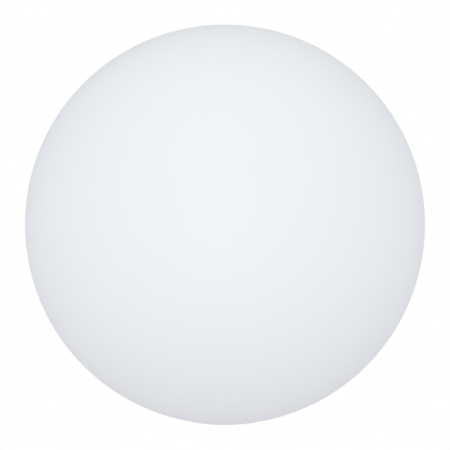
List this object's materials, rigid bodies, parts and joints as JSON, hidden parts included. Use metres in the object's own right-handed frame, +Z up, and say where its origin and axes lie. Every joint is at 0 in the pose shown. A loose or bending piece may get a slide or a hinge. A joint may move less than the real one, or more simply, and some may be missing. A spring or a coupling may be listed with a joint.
{
  "type": "garden globe light",
  "caption": "Round milky garden light that lifts off a sealed, rechargeable light unit with a push button, a charging port and a fold-out pull handle.",
  "frame": {"origin": "on the ground, under the globe's centre", "axes": "+Z up, -Y towards the charging port, +Y towards the pull handle"},
  "size_m": [0.3, 0.2998, 0.2946],
  "materials": {
    "milky_pe": "milky translucent, fine orange-peel skin, lit from inside",
    "white_abs": "fine moulded texture",
    "silicone": "soft matt",
    "stainless": "fine brushed",
    "zinc_screw": "plated",
    "aluminium": "milled",
    "lamp_board": "white solder mask",
    "lamp_package": "phosphor face in a white frame",
    "green_board": "green solder mask",
    "black_plastic": "moulded",
    "ivory_plastic": "moulded",
    "cell_wrap": "shrink wrap",
    "nickel": "plated contact metal",
    "lead_grey": "flat ribbon lead",
    "foam": "closed-cell foam",
    "clear_lens": "translucent",
    "opal_cover": "opal"
  },
  "bodies": {
    "light_unit": {"base_plate": "white_abs", "foot_pad_1": "silicone", "foot_pad_2": "silicone", "foot_pad_3": "silicone", "foot_pad_4": "silicone", "seat_gasket": "silicone", "housing_gasket": "silicone", "unit_housing": "white_abs", "seal_ring_lower": "silicone", "seal_ring_upper": "silicone", "case_screws": "stainless", "status_lens": "clear_lens", "vent_plug": "black_plastic", "switch_barrel": "stainless", "switch_light_ring": "clear_lens", "switch_seal": "silicone", "switch_nut": "stainless", "switch_terminals": "nickel", "port_hinge_pin": "stainless", "jack_body": "black_plastic", "jack_pin": "nickel", "jack_seal": "silicone", "jack_nut": "stainless", "jack_terminals": "nickel", "control_board": "green_board", "main_controller": "black_plastic", "charge_controller": "black_plastic", "power_inductor": "black_plastic", "buffer_capacitors": "aluminium", "wire_connectors": "ivory_plastic", "lamp_connector": "ivory_plastic", "led_ribbon": "lead_grey", "battery_ribbons": "lead_grey", "switch_ribbon": "lead_grey", "jack_ribbon": "lead_grey", "board_screws": "zinc_screw", "battery_holder": "black_plastic", "battery_cell_1": "cell_wrap", "battery_cell_2": "cell_wrap", "battery_contacts": "nickel", "contact_springs": "nickel", "battery_pad": "foam", "holder_screws": "zinc_screw", "heat_spreader": "aluminium", "led_board": "lamp_board", "led_packages": "lamp_package", "led_board_screws": "zinc_screw", "remote_receiver": "black_plastic", "diffuser_cover": "opal_cover", "cover_gasket": "silicone", "cover_clamp_ring": "white_abs", "cover_screws": "zinc_screw"},
    "globe": {"globe_shell": "milky_pe", "globe_neck": "milky_pe", "neck_collar": "white_abs"},
    "power_button": {"switch_cap": "stainless"},
    "port_door": {"port_door": "white_abs", "port_door_seal": "silicone"},
    "pull_handle": {"pull_handle": "stainless"}
  },
  "joints": [
    {"name": "globe_lift", "type": "slide", "parent": "light_unit", "child": "globe", "axis": [0, 0, 1], "range_m": [0, 0.12]},
    {"name": "button_press", "type": "slide", "parent": "light_unit", "child": "power_button", "axis": [0, 0, 1], "range_m": [0, 0.0008], "stiffness_N_per_m": 2000},
    {"name": "port_door_hinge", "type": "hinge", "parent": "light_unit", "child": "port_door", "pos_m": [0, -0.0308, 0.0023], "axis": [-1, 0, 0], "range_deg": [0, 95]},
    {"name": "handle_fold", "type": "hinge", "parent": "light_unit", "child": "pull_handle", "pos_m": [0, 0, 0.0028], "axis": [-1, 0, 0], "range_deg": [0, 90]}
  ]
}
